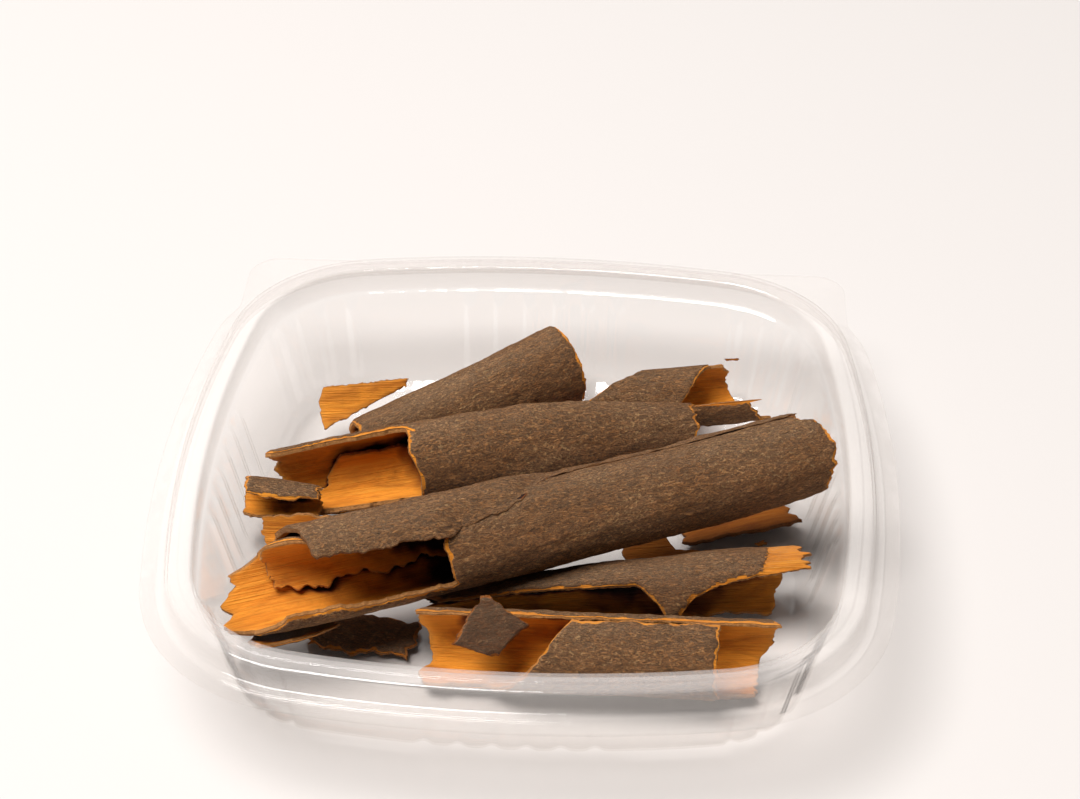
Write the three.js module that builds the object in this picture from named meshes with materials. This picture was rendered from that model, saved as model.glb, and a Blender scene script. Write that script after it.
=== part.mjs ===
// Cinnamon bark in a clear square tray.
// Millimetres, +Z up, origin at the middle of the tray's base, the tray's front facing -Y.
import * as THREE from 'three';

// ---------------------------------------------------------------- tray
const TRAY_HEIGHT = 34.4;          // base to the top of the rim ring
const SHEET = 0.6;                 // wall of the thermoformed tray
const RING_HALF = 84;              // middle of a side to the rim ring's outer edge
const SIDE_RADIUS = 306;           // large radius that bows each side outwards
const CORNER_RADIUS = 37.6;        // corner radius at the rim ring's outer edge
const RING_WIDTH = 6.5;            // flat ring round the mouth
const PLUG_DEPTH = 6.6;            // upright band under the ring that a lid would plug into
const SKIRT_DEPTH = 6.4;           // ring down to the flange
const FLANGE_WIDTH = 6.1;
const FLANGE_STEP = 2.5;           // where the flange steps down, from its inner edge
const WALL_TOP_HALF = 76.8;        // sloping wall, just under the shoulder
const WALL_FOOT_HALF = 71.4;       // sloping wall, just above the base radius
const WALL_FOOT_Z = 3.2;
const BASE_HALF = 66.5;            // flat base
const FLUTE_DEPTH = 1.3;           // how far a flute stands in from the wall
const FLUTE_WIDTH = 4.4;
const FLUTE_PITCH = 8;
const FLUTES_PER_SIDE = 6;
const FLUTES_PER_CORNER = 4;
const FLUTE_CAP = 4;               // sloping top of each flute
const TAB_HALF_X = 81.2;           // squared tabs at the two back corners of the flange
const TAB_HALF_Y = 87.6;
const TAB_RADIUS = 8;

// ---------------------------------------------------------------- bark
const FLOOR_Z = SHEET;
const BARK = 1.9;                  // thickness of a quill's bark
const THIN_BARK = 1.5;             // thickness of a broken flake

const BARK_COLOUR = 0x825c3e;
const FLAKE_COLOUR = 0xc87326;
const RAD = Math.PI / 180;

function lerp(a, b, t) {
  return a + (b - a) * t;
}

// Straight runs between [position, value] pairs, level beyond the first and the last.
function along(x, pairs) {
  if (x <= pairs[0][0]) return pairs[0][1];
  for (let i = 1; i < pairs.length; i += 1) {
    const [x0, y0] = pairs[i - 1];
    const [x1, y1] = pairs[i];
    if (x <= x1) return lerp(y0, y1, (x - x0) / (x1 - x0));
  }
  return pairs[pairs.length - 1][1];
}

// A torn edge: a smooth uneven line, the same every time for the same seed.
function torn(x, seed, size) {
  const a = Math.sin(x * 0.37 + seed * 1.7);
  const b = Math.sin(x * 0.91 + seed * 3.1);
  const c = Math.sin(x * 1.73 + seed * 5.3);
  return size * (0.5 * a + 0.3 * b + 0.2 * c);
}

function named(geometry, name, colour, roughness) {
  const material = new THREE.MeshStandardMaterial({ color: colour, roughness, metalness: 0 });
  const mesh = new THREE.Mesh(geometry, material);
  mesh.name = name;
  return mesh;
}

function geometryFrom(points, triangles) {
  const geometry = new THREE.BufferGeometry();
  geometry.setAttribute('position', new THREE.Float32BufferAttribute(points.flat(), 3));
  geometry.setIndex(triangles.flat());
  return geometry;
}

// ---------------------------------------------------------------- tray outline
// One side of the tray is an arc of SIDE_RADIUS, one corner an arc of CORNER_RADIUS.
// An outline at another half size keeps the same centres, so outlines stay parallel.
const SIDE_CENTRE = RING_HALF - SIDE_RADIUS;
const CORNER_CENTRE = cornerCentre();
const CORNER_START = Math.atan2(CORNER_CENTRE, CORNER_CENTRE - SIDE_CENTRE);

function cornerCentre() {
  const reach = SIDE_RADIUS - CORNER_RADIUS;
  return (SIDE_CENTRE + Math.sqrt(2 * reach * reach - SIDE_CENTRE * SIDE_CENTRE)) / 2;
}

// Point of the quarter outline round +X, at a distance along it from the middle of the side:
// first the side's arc, then the corner's. The distance is measured at the top of the wall,
// whatever the half size, so that the same flute keeps its place on every outline.
function outlinePoint(reach, half) {
  const sideReach = CORNER_START * (WALL_TOP_HALF - SIDE_CENTRE);
  const cornerTurn = Math.PI / 4 - CORNER_START;
  const cornerWall = CORNER_RADIUS - (RING_HALF - WALL_TOP_HALF);
  const cornerReach = cornerTurn * cornerWall;
  const distance = Math.abs(reach);
  const sign = Math.sign(reach);
  if (distance <= sideReach) {
    const turn = reach / (WALL_TOP_HALF - SIDE_CENTRE);
    const radius = half - SIDE_CENTRE;
    return [SIDE_CENTRE + radius * Math.cos(turn), radius * Math.sin(turn)];
  }
  const turn = CORNER_START + cornerTurn * Math.min(1, (distance - sideReach) / cornerReach);
  const radius = CORNER_RADIUS - (RING_HALF - half);
  return [CORNER_CENTRE + radius * Math.cos(turn), sign * (CORNER_CENTRE + radius * Math.sin(turn))];
}

// Stations round one quarter, from the middle of one corner to the middle of the next.
// Each flute gets an edge, a crest and an edge.
function quarterStations() {
  const sideReach = CORNER_START * (WALL_TOP_HALF - SIDE_CENTRE);
  const cornerWall = CORNER_RADIUS - (RING_HALF - WALL_TOP_HALF);
  const cornerReach = (Math.PI / 4 - CORNER_START) * cornerWall;
  const stations = [];
  const addFlute = (centre) => {
    stations.push({ reach: centre - FLUTE_WIDTH / 2, crest: 0 });
    stations.push({ reach: centre, crest: 1 });
    stations.push({ reach: centre + FLUTE_WIDTH / 2, crest: 0 });
  };
  for (let i = 0; i < FLUTES_PER_SIDE; i += 1) {
    addFlute((i - (FLUTES_PER_SIDE - 1) / 2) * FLUTE_PITCH);
  }
  const cornerPitch = (2 * cornerReach) / FLUTES_PER_CORNER;
  for (let i = 0; i < FLUTES_PER_CORNER / 2; i += 1) {
    const centre = sideReach + (i + 0.5) * cornerPitch;
    addFlute(centre);
    addFlute(-centre);
  }
  stations.push({ reach: sideReach * 0.85, crest: 0 });
  stations.push({ reach: -sideReach * 0.85, crest: 0 });
  stations.push({ reach: -(sideReach + cornerReach), crest: 0 });
  stations.sort((a, b) => a.reach - b.reach);
  return stations;
}

function rotated([x, y], quarter) {
  if (quarter === 0) return [x, y];
  if (quarter === 1) return [-y, x];
  if (quarter === 2) return [-x, -y];
  return [y, -x];
}

function outlineRing(half, z, inset = 0) {
  const ring = [];
  for (let quarter = 0; quarter < 4; quarter += 1) {
    for (const station of quarterStations()) {
      const [x, y] = rotated(outlinePoint(station.reach, half - inset * station.crest), quarter);
      ring.push([x, y, z]);
    }
  }
  return ring;
}

// The flange's outer edge: the parallel outline, pushed out to squared tabs at the back.
function flangeRing(z) {
  const half = RING_HALF + FLANGE_WIDTH;
  return outlineRing(half, z).map(([x, y]) => {
    const side = Math.sign(x);
    const cornerX = TAB_HALF_X - TAB_RADIUS;
    const cornerY = TAB_HALF_Y - TAB_RADIUS;
    if (y < 60 || Math.abs(x) < 50) return [x, y, z];
    // the tab is a rounded square; keep whichever reaches further from the corner centre
    const dx = Math.abs(x) - CORNER_CENTRE;
    const dy = y - CORNER_CENTRE;
    const length = Math.hypot(dx, dy);
    const reach = tabReach(dx / length, dy / length, cornerX, cornerY);
    const scale = Math.max(1, reach / length);
    return [side * (CORNER_CENTRE + dx * scale), CORNER_CENTRE + dy * scale, z];
  });
}

// Distance from the corner centre to the tab's edge in the direction (ux, uy).
function tabReach(ux, uy, cornerX, cornerY) {
  const ax = cornerX - CORNER_CENTRE;
  const ay = cornerY - CORNER_CENTRE;
  const toSide = (TAB_HALF_X - CORNER_CENTRE) / ux;
  if (toSide * uy <= ay) return toSide;
  const toBack = (TAB_HALF_Y - CORNER_CENTRE) / uy;
  if (toBack * ux <= ax) return toBack;
  const forward = ax * ux + ay * uy;
  const apart = ax * ax + ay * ay - TAB_RADIUS * TAB_RADIUS;
  return forward + Math.sqrt(forward * forward - apart);
}

function trayRings() {
  const top = TRAY_HEIGHT;
  const shoulder = top - PLUG_DEPTH;
  const flange = top - SKIRT_DEPTH;
  const plug = RING_HALF - RING_WIDTH;
  const kinkShare = (shoulder - FLUTE_CAP - WALL_FOOT_Z) / (shoulder - WALL_FOOT_Z);
  const kinkHalf = lerp(WALL_FOOT_HALF, WALL_TOP_HALF, kinkShare);
  const inner = [
    outlineRing(BASE_HALF - SHEET, SHEET),
    outlineRing(WALL_FOOT_HALF - SHEET, WALL_FOOT_Z, FLUTE_DEPTH),
    outlineRing(kinkHalf - SHEET, shoulder - FLUTE_CAP, FLUTE_DEPTH),
    outlineRing(WALL_TOP_HALF - SHEET, shoulder - SHEET),
    outlineRing(plug - SHEET * 0.5, shoulder),
    outlineRing(plug, top),
    outlineRing(RING_HALF, top),
    outlineRing(RING_HALF + SHEET * 0.5, flange + SHEET),
    outlineRing(RING_HALF + FLANGE_STEP, flange + SHEET),
    flangeRing(flange + SHEET * 0.5),
  ];
  const outer = [
    outlineRing(BASE_HALF, 0),
    outlineRing(WALL_FOOT_HALF, WALL_FOOT_Z, FLUTE_DEPTH),
    outlineRing(kinkHalf, shoulder - FLUTE_CAP, FLUTE_DEPTH),
    outlineRing(WALL_TOP_HALF, shoulder - SHEET),
    outlineRing(plug + SHEET * 0.5, shoulder),
    outlineRing(plug + SHEET, top - SHEET),
    outlineRing(RING_HALF - SHEET, top - SHEET),
    outlineRing(RING_HALF - SHEET * 0.5, flange),
    outlineRing(RING_HALF + FLANGE_STEP, flange),
    flangeRing(flange - SHEET * 0.5),
  ];
  return [...inner, ...outer.reverse()];
}

function buildTray() {
  const rings = trayRings();
  const count = rings[0].length;
  const points = rings.flat();
  const triangles = [];
  for (let r = 0; r + 1 < rings.length; r += 1) {
    for (let i = 0; i < count; i += 1) {
      const a = r * count + i;
      const b = r * count + (i + 1) % count;
      const c = a + count;
      const d = b + count;
      triangles.push([a, c, d], [a, d, b]);
    }
  }
  const floor = points.push([0, 0, SHEET]) - 1;
  const base = points.push([0, 0, 0]) - 1;
  const last = (rings.length - 1) * count;
  for (let i = 0; i < count; i += 1) {
    const next = (i + 1) % count;
    triangles.push([floor, i, next]);
    triangles.push([base, last + next, last + i]);
  }
  return named(geometryFrom(points, triangles), 'tray', 0xf2f4f5, 0.15);
}

// ---------------------------------------------------------------- curled bark
// A piece of bark is a sheet curled about its own axis. Angles are in degrees round that
// axis: 0 faces the front, 90 faces up, 180 the back. A sheet may run over more than one
// turn: its radius grows by 'grow' a turn, which is more than the bark's thickness, so its
// layers stay apart, and 'taper' narrows the roll without drawing the layers together.
//
// A sheet is cut into bands side by side round the curl. Each band has its own start and
// stop along the axis, and a band marked 'open' is missing on one side of the split, so a
// torn window in a quill is a band that is missing up to the split.
function sheetPoint(sheet, s, angle, lift) {
  const axis = sheet.axis;
  const grow = sheet.grow ?? 0;
  const turn = Math.abs(angle - sheet.from) / 360;
  const taper = along(s, sheet.taper ?? [[0, 1]]);
  const radius = sheet.radius * taper + grow * turn + lift;
  const squash = sheet.squash ?? 1;
  const twist = (sheet.twist ?? 0) * s;
  const a = (angle + twist) * RAD;
  const out = radius * Math.cos(a);
  const up = radius * Math.sin(a) * squash + (sheet.bend ?? 0) * s * s;
  const yaw = axis.yaw * RAD;
  const rise = axis.rise * RAD;
  const roll = (axis.roll ?? 0) * RAD;
  const out2 = out * Math.cos(roll) - up * Math.sin(roll);
  const up2 = out * Math.sin(roll) + up * Math.cos(roll);
  const x = Math.cos(yaw) * (s * Math.cos(rise) - up2 * Math.sin(rise)) + Math.sin(yaw) * out2;
  const y = Math.sin(yaw) * (s * Math.cos(rise) - up2 * Math.sin(rise)) - Math.cos(yaw) * out2;
  const z = s * Math.sin(rise) + up2 * Math.cos(rise);
  return [axis.x + x, axis.y + y, axis.z + z];
}

// Columns of the sheet: each knows its angle at a distance s, and where it starts and stops.
function sheetColumns(sheet) {
  const columns = [];
  const { bands, edges } = sheet;
  bands.forEach((band, index) => {
    const last = index === bands.length - 1;
    const count = last ? band.columns + 1 : band.columns;
    for (let c = 0; c < count; c += 1) {
      const share = c / band.columns;
      columns.push({
        band: index,
        share,
        angle: (s) => lerp(edges[index](s), edges[index + 1](s), share),
        start: band.start(share),
        stop: band.stop(share),
      });
    }
  });
  return columns;
}

function curledSheet(name, sheet, colour) {
  const columns = sheetColumns(sheet);
  const rowsBefore = sheet.rows[0];
  const rowsAfter = sheet.rows[1];
  const rows = rowsBefore + rowsAfter + 1;
  const half = sheet.thickness / 2;
  const bunch = sheet.bunch ?? 1;
  const distance = (row, column) => {
    const split = sheet.split(column);
    if (row <= rowsBefore) {
      const left = rowsBefore ? 1 - row / rowsBefore : 0;
      return lerp(split, column.start, left ** bunch);
    }
    return lerp(split, column.stop, ((row - rowsBefore) / rowsAfter) ** bunch);
  };
  const present = (row, col) => {
    if (row < 0 || col < 0 || row >= rows - 1 || col >= columns.length - 1) return false;
    const band = sheet.bands[columns[col].band];
    if (band.open === 'before' && row < rowsBefore) return false;
    if (band.open === 'after' && row >= rowsBefore) return false;
    return true;
  };
  const points = [];
  const index = new Map();
  const vertex = (row, col, side) => {
    const key = `${row},${col},${side}`;
    if (!index.has(key)) {
      const column = columns[col];
      const s = distance(row, column);
      index.set(key, points.push(sheetPoint(sheet, s, column.angle(s), side * half)) - 1);
    }
    return index.get(key);
  };
  const triangles = [];
  const quad = (a, b, c, d) => triangles.push([a, b, c], [a, c, d]);
  const wall = (r0, c0, r1, c1) => {
    quad(vertex(r1, c1, 1), vertex(r0, c0, 1), vertex(r0, c0, -1), vertex(r1, c1, -1));
  };
  for (let row = 0; row < rows - 1; row += 1) {
    for (let col = 0; col < columns.length - 1; col += 1) {
      if (!present(row, col)) continue;
      quad(vertex(row, col, 1), vertex(row + 1, col, 1), vertex(row + 1, col + 1, 1), vertex(row, col + 1, 1));
      quad(vertex(row, col, -1), vertex(row, col + 1, -1), vertex(row + 1, col + 1, -1), vertex(row + 1, col, -1));
      if (!present(row - 1, col)) wall(row, col + 1, row, col);
      if (!present(row + 1, col)) wall(row + 1, col, row + 1, col + 1);
      if (!present(row, col - 1)) wall(row, col, row + 1, col);
      if (!present(row, col + 1)) wall(row + 1, col + 1, row, col + 1);
    }
  }
  const geometry = geometryFrom(points, triangles);
  if (signedVolume(points, triangles) < 0) {
    geometry.setIndex(triangles.map(([a, b, c]) => [a, c, b]).flat());
  }
  return named(geometry, name, colour, 0.85);
}

function signedVolume(points, triangles) {
  let sum = 0;
  for (const [a, b, c] of triangles) {
    const [p, q, r] = [points[a], points[b], points[c]];
    sum += p[0] * (q[1] * r[2] - q[2] * r[1]);
    sum += p[1] * (q[2] * r[0] - q[0] * r[2]);
    sum += p[2] * (q[0] * r[1] - q[1] * r[0]);
  }
  return sum / 6;
}

const flat = (value) => () => value;
const uneven = (value, seed, size) => (t) => value + torn(t * 14, seed, size);
const sloped = (from, to, seed, size) => (t) => lerp(from, to, t) + torn(t * 14, seed, size);

// The long quill lying on top, wedged between two walls of the tray. Its inner edge hangs
// inside the back; the layer then runs over the top, down the front, under, up the back and
// ends along the top. The left front is torn open.
function longQuill() {
  return curledSheet('quill_long', {
    axis: { x: 2, y: -19.6, z: 26.5, yaw: 21.6, rise: 2.4 },
    radius: 8.3,
    grow: 2.6,
    from: 240,
    thickness: BARK,
    bend: 0.00027,
    taper: [[-75, 1.026], [75, 0.935]],
    rows: [4, 4],
    split: (column) => -22 + torn(column.share * 9, 2, 1.5),
    edges: [
      (s) => 236 + torn(s, 1, 12),
      flat(92),
      (s) => along(s, [[-72, -8], [-24, -28]]) + torn(s, 3, 4),
      flat(-190),
      (s) => along(s, [[-60, -300], [-22, -308], [-4, -286], [8, -238], [75, -236]]) + torn(s, 4, 3),
    ],
    bands: [
      { columns: 7, start: (t) => along(t, [[0, -62], [0.6, -64], [1, -53]]), stop: flat(70) },
      { columns: 6, start: flat(-53), stop: (t) => along(t, [[0, 73], [0.4, 75.5], [1, 72.5]]), open: 'before' },
      { columns: 8, start: (t) => along(t, [[0, -62], [0.25, -69], [0.5, -76], [0.75, -73], [1, -63]]),
        stop: (t) => along(t, [[0, 72.5], [0.3, 64], [0.6, 66], [1, 70]]) },
      { columns: 5, start: sloped(-60, -53, 6, 1.5), stop: uneven(71, 8, 1.2) },
    ],
  }, BARK_COLOUR);
}

// The quill behind it, rolled the other way: the inner layer fills its open left end and
// the outer layer reaches over it as a lip. It narrows to the right.
function middleQuill() {
  return curledSheet('quill_middle', {
    axis: { x: -9, y: 21.6, z: 15.2, yaw: 19.6, rise: -2.5 },
    radius: 6.6,
    grow: 2.6,
    from: 125,
    thickness: BARK,
    bend: -0.0005,
    taper: [[-60, 0.973], [-10, 1.135], [14, 1.162], [54, 0.458]],
    rows: [4, 4],
    split: (column) => -23 + torn(column.share * 9, 12, 2),
    edges: [
      (s) => 170 + torn(s, 11, 5),
      (s) => 312 + torn(s, 13, 8),
      (s) => along(s, [[-25, 476], [-19, 440]]) + torn(s, 14, 4),
      flat(590),
    ],
    bands: [
      { columns: 9, start: sloped(-40, -53, 15, 2), stop: flat(52) },
      { columns: 6, start: flat(-50), stop: uneven(53, 16, 1.5), open: 'before' },
      { columns: 8, start: sloped(-58, -54, 17, 1.5), stop: uneven(53, 18, 1.5) },
    ],
  }, BARK_COLOUR);
}

// A single-layer curl: one band from one edge to the other.
function curl(name, options, colour) {
  const start = options.start ?? flat(-options.length / 2);
  const stop = options.stop ?? flat(options.length / 2);
  return curledSheet(name, {
    thickness: THIN_BARK,
    rows: [0, options.steps ?? 4],
    split: (column) => start(column.share),
    ...options,
    bands: [{ columns: options.columns, start, stop }],
  }, colour);
}

// The small curl at the far left, its hollow open to the front.
function smallCurl() {
  return curl('curl_left', {
    axis: { x: -61.6, y: -1.6, z: 15.9, yaw: 1, rise: -3 },
    radius: 5.2,
    from: 50,
    taper: [[-9, 1], [9, 0.7]],
    columns: 9,
    edges: [(s) => 48 + torn(s, 21, 10), (s) => 292 + torn(s, 22, 8)],
    start: uneven(-8.7, 23, 1),
    stop: uneven(9.5, 24, 1),
  }, BARK_COLOUR);
}

// A shallow trough on the floor under the left end.
function leftTrough() {
  return curl('trough_left', {
    axis: { x: -44, y: -15.8, z: 12.95, yaw: 3, rise: 0 },
    radius: 11.2,
    from: 170,
    columns: 6,
    edges: [(s) => 172 + torn(s, 31, 6), (s) => 278 + torn(s, 32, 5)],
    start: uneven(-21, 33, 1.2),
    stop: uneven(20, 34, 2),
  }, FLAKE_COLOUR);
}

// The three-cornered flake behind, inner face to the front.
function backFlake() {
  return curl('flake_back', {
    axis: { x: -39, y: 20.8, z: 32.4, yaw: 12, rise: -4 },
    radius: 32,
    from: 170,
    columns: 4,
    edges: [(s) => along(s, [[-12, 212], [12, 209]]), (s) => along(s, [[-12, 232], [12, 211]])],
    start: uneven(-12, 35, 0.6),
    stop: flat(10.5),
  }, FLAKE_COLOUR);
}

// The cone-shaped quill at the back, rolled shut.
function backQuill() {
  return curl('quill_back', {
    axis: { x: -19.2, y: 45.6, z: 11.0, yaw: 31.5, rise: 5 },
    radius: 8.55,
    grow: 2.3,
    from: 150,
    thickness: BARK,
    taper: [[-32, 0.505], [31, 1.02]],
    columns: 20,
    steps: 4,
    edges: [(s) => 150 + torn(s, 41, 4), (s) => 584 + torn(s, 42, 4)],
    start: uneven(-31, 43, 1.5),
    stop: uneven(30.5, 44, 0.8),
  }, BARK_COLOUR);
}

// The quill at the back right: its front is torn away at the right end.
function rightQuill() {
  return curledSheet('quill_right', {
    axis: { x: 34, y: 54.0, z: 9.45, yaw: 11.5, rise: 0.6 },
    radius: 7.6,
    from: 0,
    thickness: THIN_BARK,
    rows: [3, 2],
    split: (column) => lerp(2, 13, column.share),
    edges: [
      (s) => -46 + torn(s, 51, 6),
      flat(20),
      flat(128),
      (s) => 262 + torn(s, 52, 6),
    ],
    bands: [
      { columns: 3, start: uneven(-30, 53, 2), stop: sloped(27, 20, 57, 1) },
      { columns: 5, start: sloped(-27, -6, 54, 1.5), stop: flat(24), open: 'after' },
      { columns: 6, start: sloped(-6, -14, 55, 2), stop: sloped(15.5, 21, 56, 0.8) },
    ],
  }, BARK_COLOUR);
}

// The large shell at the front right. Its front is broken off in a wavy line that comes
// down to one pointed tongue.
function frontShell() {
  const brokenEdge = [[-30, 66], [-6, 60], [-1.5, 26], [1.2, -10], [6.5, 36], [12, 50], [18, 58], [34, 70]];
  return curledSheet('shell_front', {
    axis: { x: 34, y: -25.2, z: 10.5, yaw: 6, rise: 2 },
    radius: 9.6,
    from: 0,
    thickness: THIN_BARK,
    taper: [[-53, 0.4], [-30, 0.72], [0, 0.93], [34, 1.02]],
    rows: [5, 5],
    bunch: 2,
    split: flat(1.2),
    edges: [
      (s) => along(s, brokenEdge),
      (s) => 100,
      (s) => 258 + torn(s, 62, 6),
    ],
    bands: [
      { columns: 5, start: uneven(-55, 63, 2), stop: uneven(34, 64, 2.5) },
      { columns: 8, start: uneven(-57, 65, 2), stop: sloped(34, 27, 66, 2) },
    ],
  }, BARK_COLOUR);
}

// The quill at the very front, not quite closed along its top. Its left front is torn
// away, so its back stands there alone like a trough.
function frontQuill() {
  return curledSheet('quill_front', {
    axis: { x: 18, y: -47.5, z: 12.0, yaw: 0.2, rise: 0 },
    radius: 8.3,
    grow: 1.6,
    from: 114,
    thickness: THIN_BARK,
    rows: [3, 4],
    split: (column) => (column.band === 1 ? lerp(-24, -5, column.share) : -5),
    edges: [
      (s) => 115 + torn(s, 71, 3),
      (s) => 300 + torn(s, 72, 6),
      (s) => 450 + torn(s, 73, 2),
    ],
    bands: [
      { columns: 9, start: uneven(-40, 73, 2.5), stop: sloped(43, 38, 74, 1.5) },
      { columns: 8, start: flat(-36), stop: uneven(29, 75, 1), open: 'before' },
    ],
  }, BARK_COLOUR);
}

// A lozenge of bark lying askew over the front quill's trough.
function topFlake() {
  return curl('flake_top', {
    axis: { x: -9.6, y: -28.8, z: -3.8, yaw: 14, rise: 3 },
    radius: 30,
    from: 50,
    columns: 5,
    edges: [flat(37), flat(64)],
    start: (t) => along(t, [[0, -0.8], [0.3, -9], [1, -1]]),
    stop: (t) => along(t, [[0, 0.8], [0.4, 8.6], [1, 1.2]]),
  }, BARK_COLOUR);
}

// The flake on the floor in front, outer face up.
function floorFlake() {
  return curl('flake_floor', {
    axis: { x: -37, y: -34.5, z: -21.1, yaw: -6, rise: 0 },
    radius: 24,
    from: 90,
    columns: 3,
    edges: [(s) => 76 + torn(s, 81, 3), (s) => 106 + torn(s, 82, 3)],
    start: uneven(-13, 83, 2),
    stop: uneven(12, 84, 1.5),
  }, BARK_COLOUR);
}

// Two splinters on the floor under the long quill's right half, inner face up.
function rightSplinter() {
  return curl('splinter_right', {
    axis: { x: 51, y: 12, z: 19.8, yaw: 17, rise: 2.4 },
    radius: 17,
    from: 270,
    columns: 3,
    edges: [(s) => 246 + torn(s, 91, 4), (s) => 292 + torn(s, 92, 4)],
    start: uneven(-13, 93, 2),
    stop: uneven(15, 94, 2),
  }, FLAKE_COLOUR);
}

function innerSplinter() {
  return curl('splinter_inner', {
    axis: { x: 40, y: -4.2, z: 12.7, yaw: 10, rise: 0 },
    radius: 11,
    from: 270,
    columns: 5,
    steps: 6,
    edges: [(s) => along(s, [[-14, 204], [-5, 212], [-2, 246], [11, 250]]) + torn(s, 95, 3), (s) => 286 + torn(s, 96, 5)],
    start: uneven(-14, 97, 2),
    stop: uneven(11, 98, 2),
  }, FLAKE_COLOUR);
}

// A flake of bark split off below the left end of the long quill.
function lowerFlake() {
  return curl('flake_under', {
    axis: { x: 2, y: -19.6, z: 26.9, yaw: 21.6, rise: 2.4 },
    radius: 13.2,
    from: 270,
    thickness: 1.2,
    columns: 5,
    edges: [flat(272), (s) => along(s, [[-70, 300], [-62, 320], [-50, 296]])],
    start: uneven(-70, 101, 1.2),
    stop: uneven(-51, 102, 1.5),
  }, FLAKE_COLOUR);
}

// A crumb on the floor and a sliver on the back wall.
function floorCrumb() {
  return curl('crumb_floor', {
    axis: { x: 58.7, y: 5.8, z: -0.6, yaw: 30, rise: 0 },
    radius: 2.2,
    from: 90,
    thickness: 0.8,
    columns: 2,
    steps: 2,
    edges: [flat(70), (s) => 112 + torn(s, 103, 8)],
    start: uneven(-1.2, 104, 0.3),
    stop: uneven(1.1, 105, 0.3),
  }, FLAKE_COLOUR);
}

function wallSliver() {
  return curl('sliver_wall', {
    axis: { x: 51, y: 61.9, z: 12.2, yaw: -12, rise: 14 },
    radius: 5,
    from: 150,
    thickness: 0.6,
    columns: 2,
    steps: 2,
    edges: [flat(142), flat(156)],
    start: uneven(-1.8, 106, 0.3),
    stop: uneven(1.6, 107, 0.3),
  }, BARK_COLOUR);
}

const group = new THREE.Group();
group.add(buildTray());
group.add(longQuill());
group.add(middleQuill());
group.add(smallCurl());
group.add(leftTrough());
group.add(backFlake());
group.add(backQuill());
group.add(rightQuill());
group.add(frontShell());
group.add(frontQuill());
group.add(topFlake());
group.add(floorFlake());
group.add(rightSplinter());
group.add(innerSplinter());
group.add(lowerFlake());
group.add(floorCrumb());
group.add(wallSliver());

export default group;
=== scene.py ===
import math
import bpy
import numpy as np
from mathutils import Matrix, Vector
from mathutils.bvhtree import BVHTree


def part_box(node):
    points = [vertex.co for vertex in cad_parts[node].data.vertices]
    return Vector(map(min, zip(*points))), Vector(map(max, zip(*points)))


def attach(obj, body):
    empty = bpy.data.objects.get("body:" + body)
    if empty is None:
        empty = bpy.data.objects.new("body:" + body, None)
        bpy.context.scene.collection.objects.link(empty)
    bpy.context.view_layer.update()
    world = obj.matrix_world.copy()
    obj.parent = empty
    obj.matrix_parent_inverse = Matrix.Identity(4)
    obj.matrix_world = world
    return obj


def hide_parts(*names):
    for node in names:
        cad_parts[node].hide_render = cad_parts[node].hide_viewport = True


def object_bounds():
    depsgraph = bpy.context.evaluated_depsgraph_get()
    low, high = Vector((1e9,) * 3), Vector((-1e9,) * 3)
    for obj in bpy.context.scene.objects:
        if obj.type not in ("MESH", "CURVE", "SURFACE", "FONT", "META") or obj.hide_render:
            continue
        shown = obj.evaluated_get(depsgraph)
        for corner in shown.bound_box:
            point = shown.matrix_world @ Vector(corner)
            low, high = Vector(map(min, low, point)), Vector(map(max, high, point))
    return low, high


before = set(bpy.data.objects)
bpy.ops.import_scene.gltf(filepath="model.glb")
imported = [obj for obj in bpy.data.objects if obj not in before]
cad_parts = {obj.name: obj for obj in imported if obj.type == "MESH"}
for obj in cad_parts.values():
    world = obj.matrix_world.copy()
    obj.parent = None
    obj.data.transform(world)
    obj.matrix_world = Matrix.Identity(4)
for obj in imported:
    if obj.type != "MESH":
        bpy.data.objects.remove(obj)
cad_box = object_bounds()

# Lengths are in millimetres until a mesh is made. The part is a heap of curled cinnamon
# bark in a clear square tray.
MM = 0.001
RAD = math.pi / 180
CELL = 0.6                 # mesh size on the bark
WALL_LAYERS = 3            # mesh layers across a broken edge
BARK = 1.9                 # thickness of a quill's bark
THIN_BARK = 1.5            # thickness of a broken flake
END_FRAY = 0.75            # how far splinters stand out at a piece's ends
SIDE_FRAY = 0.28           # the same along its long edges
RIM_REACH = 6.0            # the rim attribute stops growing this far from an edge
LAIN_THINNING = 0.82       # how much thinner bark gets where its edge lies on the layer below
SKIN_DEPTH = 0.3           # how far the skin stands above bare bark
SKY_RAYS = 20              # directions tried to see how open a place is
SKY_CELL = 0.002           # metres: places closer than this share one answer
SKY_REACH = 0.08           # metres: what is further away covers nothing

# ------------------------------------------------------------------ small helpers


def lerp(a, b, t):
    return a + (b - a) * t


def along(x, pairs):
    """Straight runs between (position, value) pairs, level beyond the ends."""
    return np.interp(x, [p[0] for p in pairs], [p[1] for p in pairs])


def eased(x, pairs, reach=5.0):
    """The same with its corners rounded over reach on both sides."""
    steps = (-1, -0.5, 0, 0.5, 1)
    return sum(along(x + reach * step, pairs) for step in steps) / len(steps)


def torn(x, seed, size):
    """A smooth uneven line, the same every time for the same seed."""
    a = np.sin(x * 0.37 + seed * 1.7)
    b = np.sin(x * 0.91 + seed * 3.1)
    c = np.sin(x * 1.73 + seed * 5.3)
    return size * (0.5 * a + 0.3 * b + 0.2 * c)


def flat(value):
    return lambda t: value + 0.0 * t


def uneven(value, seed, size):
    return lambda t: value + torn(t * 14, seed, size)


def sloped(first, last, seed, size):
    return lambda t: lerp(first, last, t) + torn(t * 14, seed, size)


def smoothstep(x, low, high):
    t = np.clip((x - low) / (high - low), 0, 1)
    return t * t * (3 - 2 * t)


# ------------------------------------------------------------------ noise on arrays


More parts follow.
